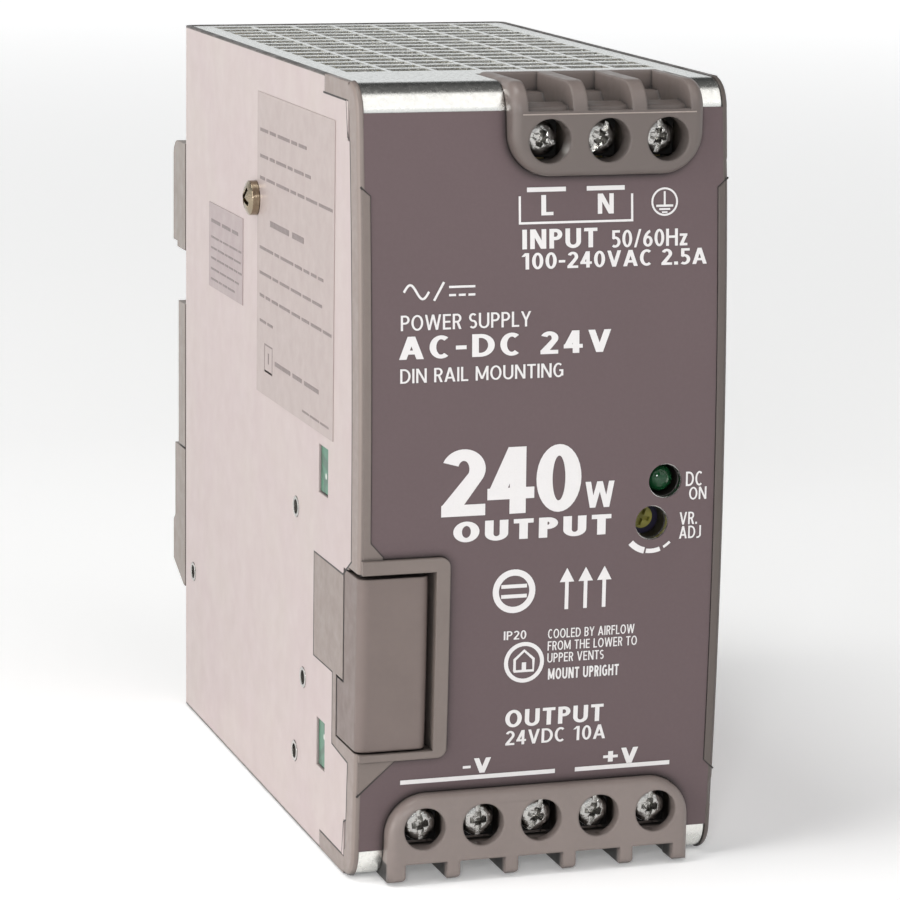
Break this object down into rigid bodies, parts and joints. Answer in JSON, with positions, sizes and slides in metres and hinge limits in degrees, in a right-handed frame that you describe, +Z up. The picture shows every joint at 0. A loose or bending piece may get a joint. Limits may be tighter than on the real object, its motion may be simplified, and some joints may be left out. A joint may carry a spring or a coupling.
{
  "type": "din rail power supply",
  "caption": "Slim metal-cased power supply for a 35 mm rail, with a bowed front, slotted top and bottom, screw terminals at both ends and a sprung rail clip behind.",
  "frame": {"origin": "centre of the rail seat on the rear clip, on the seat's face and at the rail's centre line", "axes": "+X to the right as seen from the front, +Y from the front panel to the rail, square to the seat, +Z up the case"},
  "size_m": [0.0622, 0.1238, 0.125],
  "materials": {
    "case_sheet": "light grey painted sheet",
    "bright_sheet": "satin bright sheet",
    "film": "dark grey-brown printed film",
    "bezel_plastic": "warm grey moulded plastic",
    "cover_plastic": "warm grey moulded plastic",
    "terminal_plastic": "warm grey moulded plastic",
    "contact_brass": "plated brass",
    "clamp_steel": "zinc plated",
    "screw_steel": "zinc plated",
    "clip_plastic": "glass filled moulded plastic",
    "latch_plastic": "moulded plastic",
    "spring_steel": "spring wire",
    "side_screw_metal": "nickel plated",
    "label_paper": "printed label",
    "board_green": "solder mask",
    "standoff_metal": "plated",
    "lamp_green": "tinted clear lens",
    "trimmer_blue": "moulded plastic",
    "trimmer_yellow": "moulded plastic",
    "fuse_body": "ceramic with end caps",
    "varistor_blue": "epoxy coat",
    "thermistor_green": "coated disc",
    "film_capacitor": "moulded box",
    "ferrite_green": "coated core with copper winding",
    "choke_copper": "core with copper winding",
    "black_package": "moulded package",
    "capacitor_sleeve": "shrink sleeve",
    "heatsink_aluminium": "mill finish",
    "ferrite_black": "sintered ferrite",
    "winding_tape": "wound and taped"
  },
  "bodies": {
    "case": {"chassis": "case_sheet", "front_cover": "bright_sheet", "face_overlay": "film", "front_bezel": "bezel_plastic", "input_terminal_block": "terminal_plastic", "output_terminal_block": "terminal_plastic", "input_terminal_bars": "contact_brass", "output_terminal_bars": "contact_brass", "rail_bracket": "clip_plastic", "latch_spring": "spring_steel", "bracket_screws": "screw_steel", "chassis_screw": "side_screw_metal", "caution_label": "label_paper", "terminal_label": "label_paper", "circuit_board": "board_green", "board_standoffs": "standoff_metal", "board_screws": "screw_steel", "indicator_board": "board_green", "power_led": "lamp_green", "trimmer_body": "trimmer_blue", "input_fuse": "fuse_body", "surge_varistor": "varistor_blue", "inrush_thermistor": "thermistor_green", "x_capacitors": "film_capacitor", "emi_choke": "ferrite_green", "bridge_rectifier": "black_package", "pfc_choke": "choke_copper", "bulk_capacitor": "capacitor_sleeve", "primary_heatsink": "heatsink_aluminium", "switching_transistors": "black_package", "control_board": "board_green", "transformer_core": "ferrite_black", "transformer_winding": "winding_tape", "output_heatsink": "heatsink_aluminium", "output_rectifiers": "black_package", "output_choke": "choke_copper", "output_capacitors": "capacitor_sleeve"},
    "latch": {"rail_latch": "latch_plastic"},
    "cover": {"option_cover": "cover_plastic"},
    "trimmer": {"trimmer_rotor": "trimmer_yellow"},
    "input_plate_1": {"input_clamp_1": "clamp_steel"},
    "input_screw_1": {"input_screw_1": "screw_steel"},
    "input_plate_2": {"input_clamp_2": "clamp_steel"},
    "input_screw_2": {"input_screw_2": "screw_steel"},
    "input_plate_3": {"input_clamp_3": "clamp_steel"},
    "input_screw_3": {"input_screw_3": "screw_steel"},
    "output_plate_1": {"output_clamp_1": "clamp_steel"},
    "output_screw_1": {"output_screw_1": "screw_steel"},
    "output_plate_2": {"output_clamp_2": "clamp_steel"},
    "output_screw_2": {"output_screw_2": "screw_steel"},
    "output_plate_3": {"output_clamp_3": "clamp_steel"},
    "output_screw_3": {"output_screw_3": "screw_steel"},
    "output_plate_4": {"output_clamp_4": "clamp_steel"},
    "output_screw_4": {"output_screw_4": "screw_steel"},
    "output_plate_5": {"output_clamp_5": "clamp_steel"},
    "output_screw_5": {"output_screw_5": "screw_steel"}
  },
  "joints": [
    {"name": "latch_pull", "type": "slide", "parent": "case", "child": "latch", "axis": [0, 0, -1], "range_m": [0, 0.004], "stiffness_N_per_m": 800, "springref_m": -0.004, "deforming": ["latch_spring"]},
    {"name": "cover_lift", "type": "slide", "parent": "case", "child": "cover", "axis": [0, -1, 0], "range_m": [0, 0.01]},
    {"name": "trimmer_turn", "type": "hinge", "parent": "case", "child": "trimmer", "pos_m": [0.0178, -0.1139, -0.0108], "axis": [0, 1, 0], "range_deg": [-120, 120]},
    {"name": "input_plate_1_slide", "type": "slide", "parent": "case", "child": "input_plate_1", "axis": [0, -1, 0], "range_m": [0, 0.00225]},
    {"name": "input_screw_1_turn", "type": "hinge", "parent": "input_plate_1", "child": "input_screw_1", "pos_m": [-0.0004, -0.1148, 0.0496], "axis": [0, -1, 0], "range_deg": [0, 1440]},
    {"name": "input_plate_2_slide", "type": "slide", "parent": "case", "child": "input_plate_2", "axis": [0, -1, 0], "range_m": [0, 0.00225]},
    {"name": "input_screw_2_turn", "type": "hinge", "parent": "input_plate_2", "child": "input_screw_2", "pos_m": [0.0092, -0.1148, 0.0496], "axis": [0, -1, 0], "range_deg": [0, 1440]},
    {"name": "input_plate_3_slide", "type": "slide", "parent": "case", "child": "input_plate_3", "axis": [0, -1, 0], "range_m": [0, 0.00225]},
    {"name": "input_screw_3_turn", "type": "hinge", "parent": "input_plate_3", "child": "input_screw_3", "pos_m": [0.0188, -0.1148, 0.0496], "axis": [0, -1, 0], "range_deg": [0, 1440]},
    {"name": "output_plate_1_slide", "type": "slide", "parent": "case", "child": "output_plate_1", "axis": [0, -1, 0], "range_m": [0, 0.00225]},
    {"name": "output_screw_1_turn", "type": "hinge", "parent": "output_plate_1", "child": "output_screw_1", "pos_m": [-0.0192, -0.1173, -0.0575], "axis": [0, -1, 0], "range_deg": [0, 1440]},
    {"name": "output_plate_2_slide", "type": "slide", "parent": "case", "child": "output_plate_2", "axis": [0, -1, 0], "range_m": [0, 0.00225]},
    {"name": "output_screw_2_turn", "type": "hinge", "parent": "output_plate_2", "child": "output_screw_2", "pos_m": [-0.0096, -0.1173, -0.0575], "axis": [0, -1, 0], "range_deg": [0, 1440]},
    {"name": "output_plate_3_slide", "type": "slide", "parent": "case", "child": "output_plate_3", "axis": [0, -1, 0], "range_m": [0, 0.00225]},
    {"name": "output_screw_3_turn", "type": "hinge", "parent": "output_plate_3", "child": "output_screw_3", "pos_m": [0, -0.1173, -0.0575], "axis": [0, -1, 0], "range_deg": [0, 1440]},
    {"name": "output_plate_4_slide", "type": "slide", "parent": "case", "child": "output_plate_4", "axis": [0, -1, 0], "range_m": [0, 0.00225]},
    {"name": "output_screw_4_turn", "type": "hinge", "parent": "output_plate_4", "child": "output_screw_4", "pos_m": [0.0096, -0.1173, -0.0575], "axis": [0, -1, 0], "range_deg": [0, 1440]},
    {"name": "output_plate_5_slide", "type": "slide", "parent": "case", "child": "output_plate_5", "axis": [0, -1, 0], "range_m": [0, 0.00225]},
    {"name": "output_screw_5_turn", "type": "hinge", "parent": "output_plate_5", "child": "output_screw_5", "pos_m": [0.0192, -0.1173, -0.0575], "axis": [0, -1, 0], "range_deg": [0, 1440]}
  ],
  "couplings": [
    {"joint": "input_screw_1_turn", "follows": "input_plate_1_slide", "rad_per_m": 10472},
    {"joint": "input_screw_2_turn", "follows": "input_plate_2_slide", "rad_per_m": 10472},
    {"joint": "input_screw_3_turn", "follows": "input_plate_3_slide", "rad_per_m": 10472},
    {"joint": "output_screw_1_turn", "follows": "output_plate_1_slide", "rad_per_m": 10472},
    {"joint": "output_screw_2_turn", "follows": "output_plate_2_slide", "rad_per_m": 10472},
    {"joint": "output_screw_3_turn", "follows": "output_plate_3_slide", "rad_per_m": 10472},
    {"joint": "output_screw_4_turn", "follows": "output_plate_4_slide", "rad_per_m": 10472},
    {"joint": "output_screw_5_turn", "follows": "output_plate_5_slide", "rad_per_m": 10472}
  ]
}
